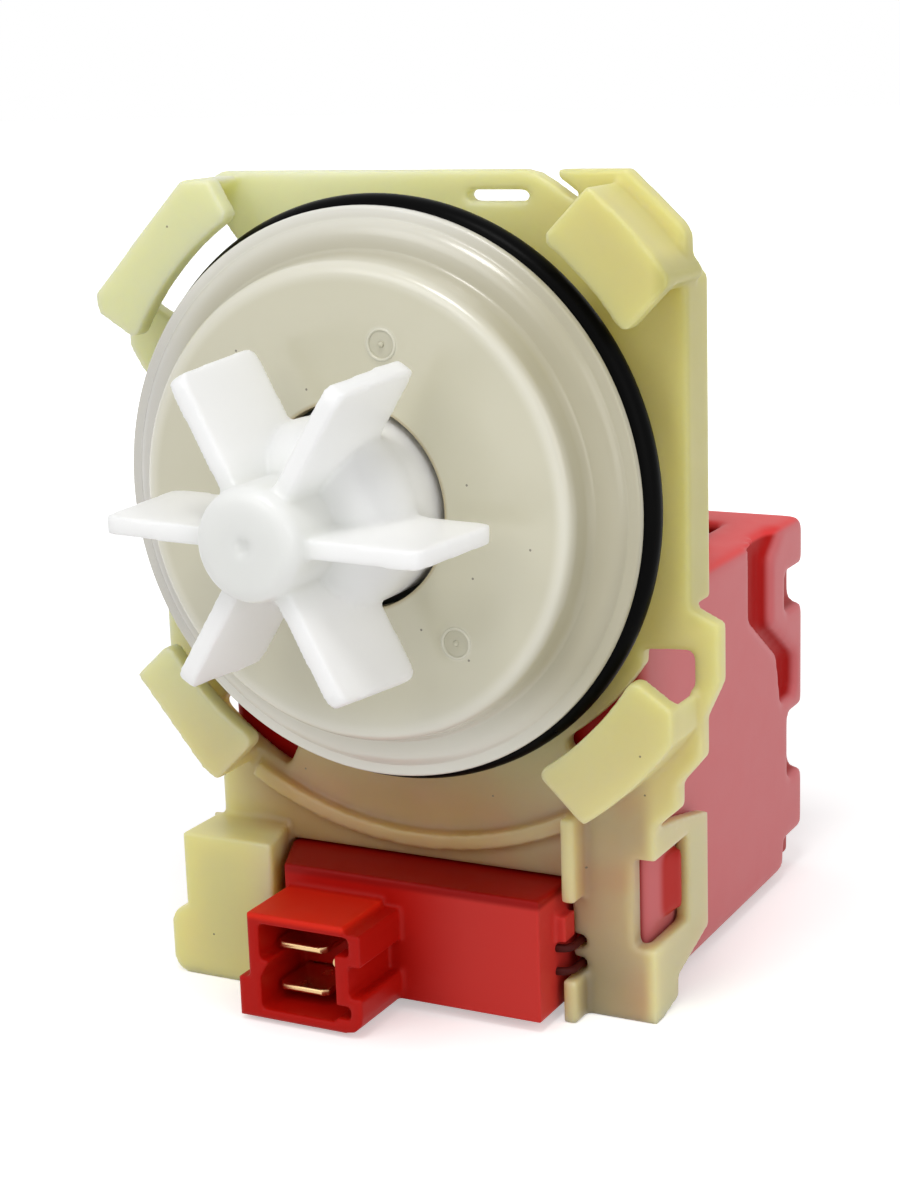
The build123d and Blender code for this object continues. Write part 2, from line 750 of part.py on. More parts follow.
# Coil cover: red box with a saddle under the can, side channels and snap lugs
box_front = plate_rear + box_plate_gap
saddle_rear = can_rear + 2 * seat_gap
box_rear = saddle_rear + box_tail
box_depth = box_rear - box_front
box_height = box_bottom - box_top
channel_shares = [          # (share of the depth, share of the height down from the top)
    (0.87, -0.03), (0.63, 0.02), (0.63, 0.20), (0.82, 0.35), (0.85, 0.50),
    (0.95, 0.50), (0.95, 0.385), (0.775, 0.255), (0.775, 0.07), (0.90, -0.03),
]
notch_shares = [            # (from, to) down the height, and the reach along the depth
    (0.135, 0.245, 0.12), (0.545, 0.73, 0.10), (0.91, 1.03, 0.13),
]
with BuildPart() as coil_cover:
    block_between(-box_half_width, box_half_width, box_front, box_rear, -box_bottom, -box_top)
    long_edges = coil_cover.edges().filter_by(Axis.Y)
    fillet(long_edges, radius=box_corner)
    block_between(-saddle_half_width, saddle_half_width, box_front - overrun, saddle_rear,
                  -saddle_floor, -box_top + overrun, mode=Mode.SUBTRACT)
    block_between(-inner_half_width, inner_half_width, box_front + box_wall, box_rear - box_wall,
                  -box_bottom + box_floor, -saddle_floor, mode=Mode.SUBTRACT)
    block_between(-saddle_half_width, saddle_half_width, box_front + box_wall,
                  saddle_rear - box_wall, -saddle_floor - overrun, -saddle_floor + overrun,
                  mode=Mode.SUBTRACT)
    for shoulder_left, shoulder_right in (
        (-inner_half_width, -saddle_half_width - saddle_wall),
        (saddle_half_width + saddle_wall, inner_half_width),
    ):
        block_between(shoulder_left, shoulder_right, box_front + box_wall, box_rear - box_wall,
                      -saddle_floor - overrun, -box_top - box_wall, mode=Mode.SUBTRACT)
    block_between(-inner_half_width, inner_half_width, saddle_rear + box_wall, box_rear - box_wall,
                  -saddle_floor - overrun, -box_top - box_wall, mode=Mode.SUBTRACT)
    for side in (-1, 1):
        with BuildSketch(Plane.YZ.offset(side * (box_half_width - channel_depth))):
            with BuildLine():
                Polyline(*[
                    (box_front + depth_share * box_depth, -box_top - height_share * box_height)
                    for depth_share, height_share in channel_shares
                ], close=True)
            make_face()
        extrude(amount=side * (channel_depth + overrun), mode=Mode.SUBTRACT)
        notch_sides = (side * (box_half_width - notch_depth), side * (box_half_width + overrun))
        for from_share, to_share, reach_share in notch_shares:
            block_between(
                min(notch_sides), max(notch_sides),
                box_rear - reach_share * box_depth, box_rear + overrun,
                -box_top - to_share * box_height, -box_top - from_share * box_height,
                mode=Mode.SUBTRACT,
            )
        with BuildSketch(level(lug_bottom)):
            with BuildLine():
                Polyline(
                    (side * (box_half_width - overrun), plate_front + lug_front_behind),
                    (side * box_half_width, plate_front + lug_front_behind),
                    (side * (box_half_width + lug_height), plate_front + lug_rear_behind),
                    (side * (box_half_width - overrun), plate_front + lug_rear_behind),
                    close=True,
                )
            make_face()
        extrude(amount=lug_bottom - lug_top)
    block_between(
        -foot_bead_width / 2, foot_bead_width / 2,
        box_rear - foot_bead_inset - foot_bead_depth, box_rear - foot_bead_inset,
        -base_drop, -box_bottom,
    )
finish(coil_cover, "coil_cover")

# Lid over the saddle, in a front and a rear half round the core's legs
lid_gap = bobbin_gap
for place, lid_start, lid_end in (
    ("front", box_front, core_middle - lid_gap / 2),
    ("rear", core_middle + lid_gap / 2, saddle_rear - press_gap),
):
    with BuildPart() as coil_lid:
        block_between(
            -saddle_half_width + press_gap, saddle_half_width - press_gap,
            lid_start, lid_end, -saddle_floor, -lid_top,
        )
        for slot_left, slot_right in (
            (leg_inner - lid_gap, saddle_half_width + overrun),
            (-saddle_half_width - overrun, -leg_inner + lid_gap),
        ):
            block_between(
                slot_left, slot_right, core_front - lid_gap, core_rear + lid_gap,
                -saddle_floor - overrun, -lid_top + overrun, mode=Mode.SUBTRACT,
            )
    finish(coil_lid, f"coil_lid_{place}")

# Bracket: plate, hooks, rims, posts and the skirt with its port and side windows
hook_front = plate_front - hook_reach
hook_wall_radius = hook_outer_radius - hook_wall
post_rear = core_front
outline_shares = [          # plate outline above the skirt, (share of half width, share of rise)
    (-0.675, 0.99), (0.44, 0.99), (0.485, 0.979), (0.533, 0.9515), (0.609, 0.9015),
    (0.64, 0.912), (0.561, 0.965), (0.561, 0.99), (0.79, 0.99), (0.962, 0.833), (0.981, 0.80),
]
left_outline_shares = [     # the plate's left edge, from the lower hook to the upper one
    (-0.78, -0.98), (-1.0, -0.70), (-1.0, 0.295), (-1.042, 0.335), (-1.088, 0.41),
    (-1.088, 0.574), (-0.733, 0.953),
]
plate_points = [(across * plate_half_width, up * plate_rise) for across, up in outline_shares]
right_side = plate_half_width - right_inset
plate_points += [
    (right_side, rim_top),
    (right_side, -rim_bottom),
    (ear_reach, -ear_top),
    (ear_reach, -ear_bottom),
    (ear_foot_across, -ear_foot_bottom + (ear_foot_bottom - ear_bottom) / 2),
    (ear_foot_across, -ear_foot_bottom),
    (block_across, -block_bottom),
    (block_across, -block_heel_bottom),
    (skirt_half_width, -skirt_top),
    (skirt_half_width, -base_drop),
    (port_right, -base_drop),
    (port_right, -port_top),
    (-port_left, -port_top),
    (-port_left, -base_drop),
    (-skirt_half_width, -base_drop),
    (-skirt_half_width, -left_block_top),
    (-neck_half_width, -left_block_top),
    (-neck_half_width, -skirt_top),
]
plate_points += [(across * plate_half_width, up * plate_rise) for across, up in left_outline_shares]
hex_shares = [              # opening beside the lower right hook, shares of half width and rise
    (0.82, -0.475), (0.98, -0.465), (0.997, -0.482), (0.997, -0.58), (0.91, -0.64), (0.82, -0.64),
]


def hook_sector(inner, outer, span, rim_span, rounding=0.0):
    """Hook's outline in the open sketch; its ends lean in from the first span to the rim's."""
    with BuildSketch(mode=Mode.PRIVATE) as shape:
        with BuildLine():
            CenterArc((0, 0), outer, rim_span[0], rim_span[1] - rim_span[0])
            Line(polar(outer, rim_span[1]), polar(inner, span[1]))
            CenterArc((0, 0), inner, span[1], span[0] - span[1])
            Line(polar(inner, span[0]), polar(outer, rim_span[0]))
        make_face()
        if rounding > 0:
            fillet(shape.vertices(), radius=rounding)
    add(shape.sketch)


def trim_hook(direction, depth):
    """Cut the open sketch square across this direction, and level at the hooks' top."""
    reach = 2 * hook_outer_radius
    middle = hook_outer_radius - depth + reach / 2
    with Locations(Location((*polar(middle, direction), 0), (0, 0, direction))):
        Rectangle(reach, 2 * reach, mode=Mode.SUBTRACT)
    with Locations((0, hook_outer_radius - hook_crown_depth + reach / 2)):
        Rectangle(2 * reach, reach, mode=Mode.SUBTRACT)


with BuildPart() as mounting_bracket:
    with BuildSketch(at_depth(plate_rear)):
        with BuildLine():
            Polyline(*plate_points, close=True)
        make_face()
    extrude(amount=plate_thickness)
    hook_cuts = zip(hook_flat_angles, hook_flat_depths, hook_corner_angles, hook_corner_depths)
    for span, rim_span, cuts in zip(hook_angles, hook_rim_angles, hook_cuts):
        flat_angle, flat_depth, corner_angle, corner_depth = cuts
        with BuildSketch(at_depth(plate_rear)):
            sector(hook_wall_radius, hook_outer_radius, *rim_span)
            trim_hook(flat_angle, flat_depth)
            trim_hook(corner_angle, corner_depth)
        extrude(amount=plate_rear - hook_front)
        with BuildSketch(at_depth(hook_front + hook_lip_thickness)):
            hook_sector(hook_inner_radius, hook_outer_radius, span, rim_span, hook_rounding)
            trim_hook(flat_angle, flat_depth)
            trim_hook(corner_angle, corner_depth)
        extrude(amount=hook_lip_thickness)
    with BuildSketch(at_depth(plate_rear)):
        for start, end in opening_angles:
            sector(opening_inner_radius, hook_wall_radius, start, end, hook_rounding)
        with BuildLine():
            Polyline(*[(across * plate_half_width, up * plate_rise) for across, up in hex_shares],
                     close=True)
        make_face()
        with Locations((slot_across, slot_rise)):
            SlotOverall(slot_length, slot_height)
        Circle(can_outer_radius + seat_gap)
    extrude(amount=plate_thickness, mode=Mode.SUBTRACT)
    with BuildSketch(at_depth(plate_front)):
        sector(ridge_inner_radius, ridge_outer_radius, *ridge_angles)
    extrude(amount=ridge_height)
    with BuildSketch(at_depth(plate_front + rim_depth)):
        with BuildLine():
            Polyline(
                (right_side - rim_wall, -rim_bottom),
                (right_side, -rim_bottom),
                (right_side, rim_top - rim_slope_high),
                (right_side - rim_slope_wide, rim_top),
                (right_side - rim_wall, rim_top),
                close=True,
            )
        make_face()
    extrude(amount=rim_depth - plate_thickness)
    block_between(-plate_half_width, -plate_half_width + rim_wall,
                  plate_rear, plate_front + rim_depth, -left_rim_bottom, left_rim_top)
    with BuildSketch(at_depth(plate_rear + collar_depth)):
        Circle(can_outer_radius + seat_gap + collar_wall)
        Circle(can_outer_radius + seat_gap, mode=Mode.SUBTRACT)
    extrude(amount=collar_depth)
    rib_start = can_outer_radius + seat_gap + collar_wall / 2
    for rib in range(rib_count // 2):
        with BuildSketch(at_depth(plate_rear + rib_depth)):
            with PolarLocations((rib_start + rib_reach) / 2, 1,
                                start_angle=rib_angle + rib * 360 / rib_count):
                Rectangle(rib_reach - rib_start, rib_width)
        extrude(amount=rib_depth)
    with BuildSketch(at_depth(post_rear)):
        with Locations(*screw_places):
            Circle(post_radius)
    extrude(amount=post_rear - plate_rear)
    with BuildSketch(at_depth(post_rear)):
        with Locations(*screw_places):
            Circle(screw_radius + press_gap)
    extrude(amount=post_rear - screw_tip + end_float, mode=Mode.SUBTRACT)
    for side, tops in (
        (-1, (left_block_top, left_block_top, left_block_top)),
        (1, (skirt_top, skirt_side_top, skirt_side_rear_top)),
    ):
        front_top, middle_top, rear_top = tops
        with BuildSketch(Plane.YZ.offset(side * (skirt_half_width - skirt_wall))):
            with BuildLine():
                Polyline(
                    (plate_front, -front_top),
                    (plate_front + skirt_side_depth / 2, -middle_top),
                    (plate_front + skirt_side_depth, -rear_top),
                    (plate_front + skirt_side_depth, -skirt_step_drop),
                    (plate_front + skirt_foot_depth, -skirt_foot_drop),
                    (plate_front + skirt_foot_depth, -skirt_heel_drop),
                    (plate_front + skirt_toe_depth, -base_drop),
                    (plate_front, -base_drop),
                    close=True,
                )
            make_face()
        extrude(amount=side * skirt_wall)
        window_sides = (
            side * (skirt_half_width - skirt_wall - window_margin),
            side * (skirt_half_width + overrun),
        )
        window_start = plate_front - overrun if side > 0 else plate_front + window_front
        block_between(
            min(window_sides), max(window_sides), window_start, plate_front + window_rear,
            -window_bottom, -window_top, mode=Mode.SUBTRACT,
        )
    block_front = plate_front - left_block_reach
    with BuildSketch(level(base_drop)):
        with BuildLine():
            Polyline(
                (-skirt_half_width + left_block_inset, plate_front),
                (-skirt_half_width + left_block_inset, block_front),
                (-port_left + left_block_lean, block_front),
                (-port_left, plate_front),
                close=True,
            )
        make_face()
    extrude(amount=base_drop - left_block_top)
    heel_left = -skirt_half_width - left_block_step
    heel_right = -skirt_half_width + left_block_inset + left_block_wall
    with BuildSketch(at_depth(plate_front)):
        with Locations(((heel_left + heel_right) / 2,
                        -(left_block_step_drop + base_drop) / 2)):
            RectangleRounded(heel_right - heel_left, base_drop - left_block_step_drop,
                             left_heel_rounding)
    extrude(amount=left_block_reach)
    for rib_bottom, rib_top in ((base_drop, port_rib_gap_bottom), (port_rib_gap_top, port_rib_top)):
        block_between(port_rib_left, port_rib_right, plate_front - port_rib_reach, plate_front,
                      -rib_bottom, -rib_top)
    for lead_drop in (lead_upper_drop, lead_lower_drop):
        block_between(port_right - overrun, lead_across + lead_radius + lead_slot_gap,
                      plate_front - overrun, plate_rear + overrun,
                      -lead_drop - lead_radius - lead_slot_gap,
                      -lead_drop + lead_radius + lead_slot_gap, mode=Mode.SUBTRACT)
    block_between(
        heel_right, -port_left - left_block_wall,
        block_front + left_block_wall, plate_rear + overrun,
        -base_drop + left_block_wall, -left_block_top - left_block_wall, mode=Mode.SUBTRACT,
    )
finish(mounting_bracket, "mounting_bracket")

# Terminal block: plate in the skirt's port, and the plug shroud with its keyed socket
block_front_face = plate_front - block_ahead
shroud_front = plate_front - shroud_ahead
socket_floor = shroud_front + socket_depth
heel_shares = [(0.0, 1.0), (0.134, 0.5), (0.5, 0.134), (1.0, 0.0)]      # round corner
with BuildPart() as terminal_block:
    with BuildSketch(level(block_bottom_drop)):
        with BuildLine():
            Polyline(
                (-block_left, box_front),
                (-block_left, plate_front),
                (-block_left + block_lean, block_front_face),
                (block_right, block_front_face),
                (block_right, box_front),
                close=True,
            )
        make_face()
    extrude(amount=block_bottom_drop - block_top)
    block_between(-block_left + block_lean + block_shell, block_right - block_shell,
                  socket_floor + block_shell, box_front + overrun,
                  -block_bottom_drop + block_shell, -block_top - block_shell, mode=Mode.SUBTRACT)
    block_between(block_right, block_right + lug_side_reach,
                  plate_front - lug_side_front, plate_front - seat_gap,
                  -lug_side_bottom, -lug_side_top)
    with BuildSketch(at_depth(block_front_face)):
        with BuildLine():
            Polyline(
                (-shroud_left, -shroud_top),
                (shroud_right - shroud_step_width, -shroud_top),
                (shroud_right - shroud_step_width, -shroud_top - shroud_step_drop),
                (shroud_right, -shroud_top - shroud_step_drop),
                (shroud_right, -groove_top),
                (shroud_right - block_shell, -groove_top),
                (shroud_right - block_shell, -groove_bottom),
                (shroud_right, -groove_bottom),
                *[(shroud_right - across * shroud_heel_rounding,
                   -shroud_bottom + up * shroud_heel_rounding) for across, up in heel_shares],
                (-shroud_left - shroud_lug_reach, -shroud_bottom),
                (-shroud_left - shroud_lug_reach, -shroud_lug_top),
                (-shroud_left, -shroud_lug_top),
                close=True,
            )
        make_face()
    extrude(amount=block_front_face - shroud_front)
    with BuildSketch(at_depth(socket_floor)):
        with BuildLine():
            Polyline(
                (-socket_left, -socket_top),
                (-coding_slot_reach, -socket_top),
                (-coding_slot_reach, -coding_slot_upper_bottom),
                (-socket_right, -coding_slot_upper_bottom),
                (-socket_right, -coding_slot_lower_top),
                (-coding_slot_reach, -coding_slot_lower_top),
                (-coding_slot_reach, -coding_slot_lower_bottom),
                (-socket_right, -coding_slot_lower_bottom),
                (-socket_right, -socket_bottom),
                (-socket_left, -socket_bottom),
                (-socket_left, -guide_rib_bottom),
                (-socket_left + guide_rib_reach, -guide_rib_top),
                (-socket_left, -guide_rib_top),
                close=True,
            )
        make_face()
    extrude(amount=socket_depth, mode=Mode.SUBTRACT)
    for tab in range(2):
        tab_drop = tab_upper_drop + tab * tab_pitch
        block_between(
            -tab_left - tab_slot_gap, -tab_left + tab_width + tab_slot_gap,
            socket_floor - overrun, socket_floor + block_shell + overrun,
            -tab_drop - tab_thickness / 2 - tab_slot_gap,
            -tab_drop + tab_thickness / 2 + tab_slot_gap, mode=Mode.SUBTRACT,
        )
    with BuildSketch(at_depth(socket_floor + block_shell + overrun)):
        with Locations((-pin_across, -pin_drop)):
            Circle(pin_radius + press_gap)
    extrude(amount=block_shell + 2 * overrun, mode=Mode.SUBTRACT)
finish(terminal_block, "terminal_block")

tab_front = plate_front - tab_ahead
tab_rear = socket_floor + tab_behind
for tab, place in enumerate(("upper", "lower")):
    tab_drop = tab_upper_drop + tab * tab_pitch
    with BuildPart() as terminal_tab:
        with BuildSketch(level(tab_drop + tab_thickness / 2)):
            with BuildLine():
                Polyline(
                    (-tab_left, tab_rear),
                    (-tab_left, tab_front + tab_taper),
                    (-tab_left + tab_taper, tab_front),
                    (-tab_left + tab_width - tab_taper, tab_front),
                    (-tab_left + tab_width, tab_front + tab_taper),
                    (-tab_left + tab_width, tab_rear),
                    close=True,
                )
            make_face()
        extrude(amount=tab_thickness)
        chamfer(terminal_tab.edges().group_by(Axis.Y)[0].filter_by(Axis.X),
                length=tab_thickness / 4)
    finish(terminal_tab, f"terminal_tab_{place}")

with BuildPart() as keying_pin:
    with BuildSketch(at_depth(socket_floor + block_shell)):
        with Locations((-pin_across, -pin_drop)):
            Circle(pin_radius)
    extrude(amount=socket_floor + block_shell - plate_front + pin_ahead)
finish(keying_pin, "keying_pin")

# Coil leads from the terminal block's end back into the coil cover
lead_bend = lead_across - block_right - press_gap
for place, lead_drop in (("upper", lead_upper_drop), ("lower", lead_lower_drop)):
    with BuildPart() as coil_lead:
        with BuildLine():
            lead_path = FilletPolyline(
                (block_right, plate_front - lead_ahead, -lead_drop),
                (lead_across, plate_front - lead_ahead, -lead_drop),
                (lead_across, box_front, -lead_drop),
                radius=lead_bend,
            )
        with BuildSketch(Plane(lead_path @ 0, z_dir=lead_path % 0)):
            Circle(lead_radius)
        sweep(path=lead_path)
    finish(coil_lead, f"coil_lead_{place}")
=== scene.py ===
import json
from math import cos, pi, radians, sin

import bmesh
import bpy
from mathutils import Matrix, Vector


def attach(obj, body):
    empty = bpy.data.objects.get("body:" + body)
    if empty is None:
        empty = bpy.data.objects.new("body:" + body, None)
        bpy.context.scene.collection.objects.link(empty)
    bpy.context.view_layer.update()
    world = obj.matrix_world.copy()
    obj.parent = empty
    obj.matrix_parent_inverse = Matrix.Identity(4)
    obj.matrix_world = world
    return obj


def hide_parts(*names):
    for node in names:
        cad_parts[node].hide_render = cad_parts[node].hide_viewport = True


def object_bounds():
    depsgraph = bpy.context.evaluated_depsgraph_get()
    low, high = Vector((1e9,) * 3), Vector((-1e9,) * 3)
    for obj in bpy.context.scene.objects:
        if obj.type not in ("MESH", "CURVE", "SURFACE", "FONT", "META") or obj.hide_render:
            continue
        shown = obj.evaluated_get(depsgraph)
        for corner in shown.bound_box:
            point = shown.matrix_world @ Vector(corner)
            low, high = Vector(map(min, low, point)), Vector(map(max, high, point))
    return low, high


# Washer drain pump in its photographed finishes. The CAD frame is in metres,
# with the pump's axis along Y; the sizes below are in millimetres.
MM = 0.001
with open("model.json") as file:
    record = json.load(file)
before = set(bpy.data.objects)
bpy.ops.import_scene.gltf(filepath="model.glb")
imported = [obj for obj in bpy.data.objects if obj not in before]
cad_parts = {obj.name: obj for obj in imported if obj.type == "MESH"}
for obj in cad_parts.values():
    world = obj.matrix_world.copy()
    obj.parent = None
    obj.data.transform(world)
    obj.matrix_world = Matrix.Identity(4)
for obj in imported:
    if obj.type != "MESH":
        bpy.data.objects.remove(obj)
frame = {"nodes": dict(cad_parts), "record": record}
cad_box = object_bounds()
nodes = frame["nodes"]

# Places on the part that the looks and the new pieces use
HOLE_RADIUS = 11.0
DRUM_RADIUS = 25.5
LIP_RADIUS = 30.65      # of the rounded moulding, a little inside the CAD's lip
DRUM_FRONT = -5.8       # along Y
PLATE_FRONT = 7.8       # along Y
COIL_SIDE = 26.1        # half width of the coil cover
COIL_TOP = -12.5        # along Z
BLOCK_FRONT = 0.7       # along Y, front of the terminal block's plate
BLOCK_TOP = -43.3       # along Z
PLUG_TOP = -45.7        # along Z, top of the plug shroud
MARK_RADIUS = 1.55
MARKS = [(17.7, 75.0), (18.1, -48.4)]   # ejector marks: distance from the axis, degrees


def mark_place(distance, angle):
    """Point in metres at this distance and angle round the axis."""
    turn = radians(angle)
    return distance * cos(turn) * MM, 0.0, distance * sin(turn) * MM


def configured(item, **settings):
    """This item with these attributes set."""
    for key, value in settings.items():
        setattr(item, key, value)
    return item


# Materials
def cleared(owner):
    """Emptied node tree of a material or world."""
    owner.use_nodes = True
    owner.node_tree.nodes.clear()
    return owner.node_tree


def add(tree, kind, inputs=(), **settings):
    """Node of this kind; inputs are (socket, value or output socket) pairs."""
    node = configured(tree.nodes.new(kind), **settings)
    for socket, value in inputs:
        if isinstance(value, bpy.types.NodeSocket):
            tree.links.new(value, node.inputs[socket])
        else:
            node.inputs[socket].default_value = value
    return node


def new_material(name):
    """Node material with a Principled shader on its output."""
    material = bpy.data.materials.new(name)
    tree = cleared(material)
    shader = add(tree, "ShaderNodeBsdfPrincipled")
    add(tree, "ShaderNodeOutputMaterial", [("Surface", shader.outputs["BSDF"])])
    return material, tree, shader


def combine(tree, operation, first, second):
    """Output of a maths node on two values or sockets."""
    return add(tree, "ShaderNodeMath", [(0, first), (1, second)], operation=operation).outputs[0]


def times(tree, first, second):
    return combine(tree, "MULTIPLY", first, second)


def object_place(tree):
    return add(tree, "ShaderNodeTexCoord").outputs["Object"]


def group(name, inputs, outputs):
    """Shared node group with named float and colour sockets."""
    tree = bpy.data.node_groups.new(name, "ShaderNodeTree")
    for label, kind, value in inputs:
        socket = tree.interface.new_socket(name=label, in_out="INPUT", socket_type=kind)
        socket.default_value = value
    for label, kind in outputs:
        tree.interface.new_socket(name=label, in_out="OUTPUT", socket_type=kind)
    return tree, tree.nodes.new("NodeGroupInput"), tree.nodes.new("NodeGroupOutput")


FLOAT = "NodeSocketFloat"
COLOUR = "NodeSocketColor"


def moulded_surface():
    """Faint cloudiness, fine mould grain and handling marks of moulded plastic."""
    grain_scale, marks_scale = 2500.0, 260.0
    tree, given, out = group(
        "moulded surface",
        [
            ("Colour", COLOUR, (0.5, 0.5, 0.5, 1.0)),
            ("Cloud Colour", COLOUR, (0.5, 0.5, 0.5, 1.0)),
            ("Cloud Amount", FLOAT, 0.3),
            ("Cloud Scale", FLOAT, 60.0),
            ("Roughness", FLOAT, 0.35),
            ("Roughness Spread", FLOAT, 0.1),
        ],
        [("Colour", COLOUR), ("Roughness", FLOAT), ("Height", FLOAT)],
    )
    place = object_place(tree)
    cloud = add(tree, "ShaderNodeTexNoise", [
        ("Vector", place), ("Scale", given.outputs["Cloud Scale"]), ("Detail", 4.0),
    ])
    colour = add(tree, "ShaderNodeMix", [
        ("Factor", times(tree, cloud.outputs["Fac"], given.outputs["Cloud Amount"])),
        ("A", given.outputs["Colour"]),
        ("B", given.outputs["Cloud Colour"]),
    ], data_type="RGBA")
    marks = add(tree, "ShaderNodeTexNoise", [
        ("Vector", place), ("Scale", marks_scale), ("Detail", 6.0), ("Roughness", 0.7),
    ])
    spread = add(tree, "ShaderNodeMath", [
        (0, marks.outputs["Fac"]), (1, given.outputs["Roughness Spread"]),
        (2, given.outputs["Roughness"]),
    ], operation="MULTIPLY_ADD")
    grain = add(tree, "ShaderNodeTexNoise", [
        ("Vector", place), ("Scale", grain_scale), ("Detail", 2.0),
    ])
    tree.links.new(colour.outputs["Result"], out.inputs["Colour"])
    tree.links.new(spread.outputs[0], out.inputs["Roughness"])
    tree.links.new(grain.outputs["Fac"], out.inputs["Height"])
    return tree


def dust_specks():
    """Mask of sparse dark specks, seen along the pump's axis."""
    tree, given, out = group(
        "dust specks",
        [("Spacing", FLOAT, 0.008), ("Speck Radius", FLOAT, 0.0001), ("Share", FLOAT, 0.5)],
        [("Mask", FLOAT)],
    )
    parts = add(tree, "ShaderNodeSeparateXYZ", [(0, object_place(tree))])
    flat = add(tree, "ShaderNodeCombineXYZ", [(0, parts.outputs["X"]), (1, parts.outputs["Z"])])
    density = combine(tree, "DIVIDE", 1.0, given.outputs["Spacing"])
    cells = add(tree, "ShaderNodeTexVoronoi", [
        ("Vector", flat.outputs[0]), ("Scale", density),
    ], voronoi_dimensions="2D")
    reach = times(tree, given.outputs["Speck Radius"], density)
    near = combine(tree, "LESS_THAN", cells.outputs["Distance"], reach)
    chance = add(tree, "ShaderNodeSeparateColor", [(0, cells.outputs["Color"])])
    chosen = combine(tree, "LESS_THAN", chance.outputs["Red"], given.outputs["Share"])
    tree.links.new(times(tree, near, chosen), out.inputs["Mask"])
    return tree


MOULDED = moulded_surface()
SPECKS = dust_specks()


def ready(value):
    """Colour socket as it is, or colour with its alpha."""
    return value if isinstance(value, bpy.types.NodeSocket) else (*value, 1.0)


def moulded(name, colour, cloud, amount=0.5, cloud_scale=60.0, rough=0.3, spread=0.1,
            bump=0.05, **sockets):
    """Moulded plastic; colour is a colour or a tint that makes one in the material's tree,
    and sockets set the shader's own constants."""
    grain_depth = 0.02
    material, tree, shader = new_material(name)
    surface = add(tree, "ShaderNodeGroup", [
        ("Colour", ready(colour(tree) if callable(colour) else colour)),
        ("Cloud Colour", ready(cloud)), ("Cloud Amount", amount), ("Cloud Scale", cloud_scale),
        ("Roughness", rough), ("Roughness Spread", spread),
    ], node_tree=MOULDED)
    tree.links.new(surface.outputs["Colour"], shader.inputs["Base Color"])
    tree.links.new(surface.outputs["Roughness"], shader.inputs["Roughness"])
    dent = add(tree, "ShaderNodeBump", [
        ("Strength", bump), ("Distance", grain_depth * MM), ("Height", surface.outputs["Height"]),
    ])
    tree.links.new(dent.outputs["Normal"], shader.inputs["Normal"])
    for socket, value in sockets.items():
        shader.inputs[socket.replace("_", " ")].default_value = value
    return material


def rising(tree, value, start, end):
    """Soft mask that rises from 0 where the value is at start to 1 at end, in millimetres."""
    return add(tree, "ShaderNodeMapRange", [
        ("Value", value), ("From Min", start * MM), ("From Max", end * MM),
    ], interpolation_type="SMOOTHSTEP").outputs["Result"]


def zone(tree, axis, start, end):
    """Mask that rises from start to end along an object axis."""
    parts = add(tree, "ShaderNodeSeparateXYZ", [(0, object_place(tree))])
    return rising(tree, parts.outputs["XYZ".index(axis)], start, end)


def seen_along_axis(tree):
    """Object coordinates flattened onto the plane across the pump's axis."""
    return add(tree, "ShaderNodeVectorMath", [
        (0, object_place(tree)), (1, (1.0, 0.0, 1.0)),
    ], operation="MULTIPLY").outputs[0]


def around_axis(tree, start, end):
    """Mask that rises from start to end with the distance from the pump's axis."""
    radius = add(tree, "ShaderNodeVectorMath", [(0, seen_along_axis(tree))], operation="LENGTH")
    return rising(tree, radius.outputs["Value"], start, end)


def blended(tree, factor, first, second):
    """Colour mix; first and second are colours or colour sockets."""
    return add(tree, "ShaderNodeMix", [
        ("Factor", factor), ("A", ready(first)), ("B", ready(second)),
    ], data_type="RGBA").outputs["Result"]


def specked(tree, base, spacing, radius, share, dirt):
    """This colour with dust specks; spacing and radius are in millimetres."""
    specks = add(tree, "ShaderNodeGroup", [
        ("Spacing", spacing * MM), ("Speck Radius", radius * MM), ("Share", share),
    ], node_tree=SPECKS)
    return blended(tree, specks.outputs["Mask"], base, dirt)


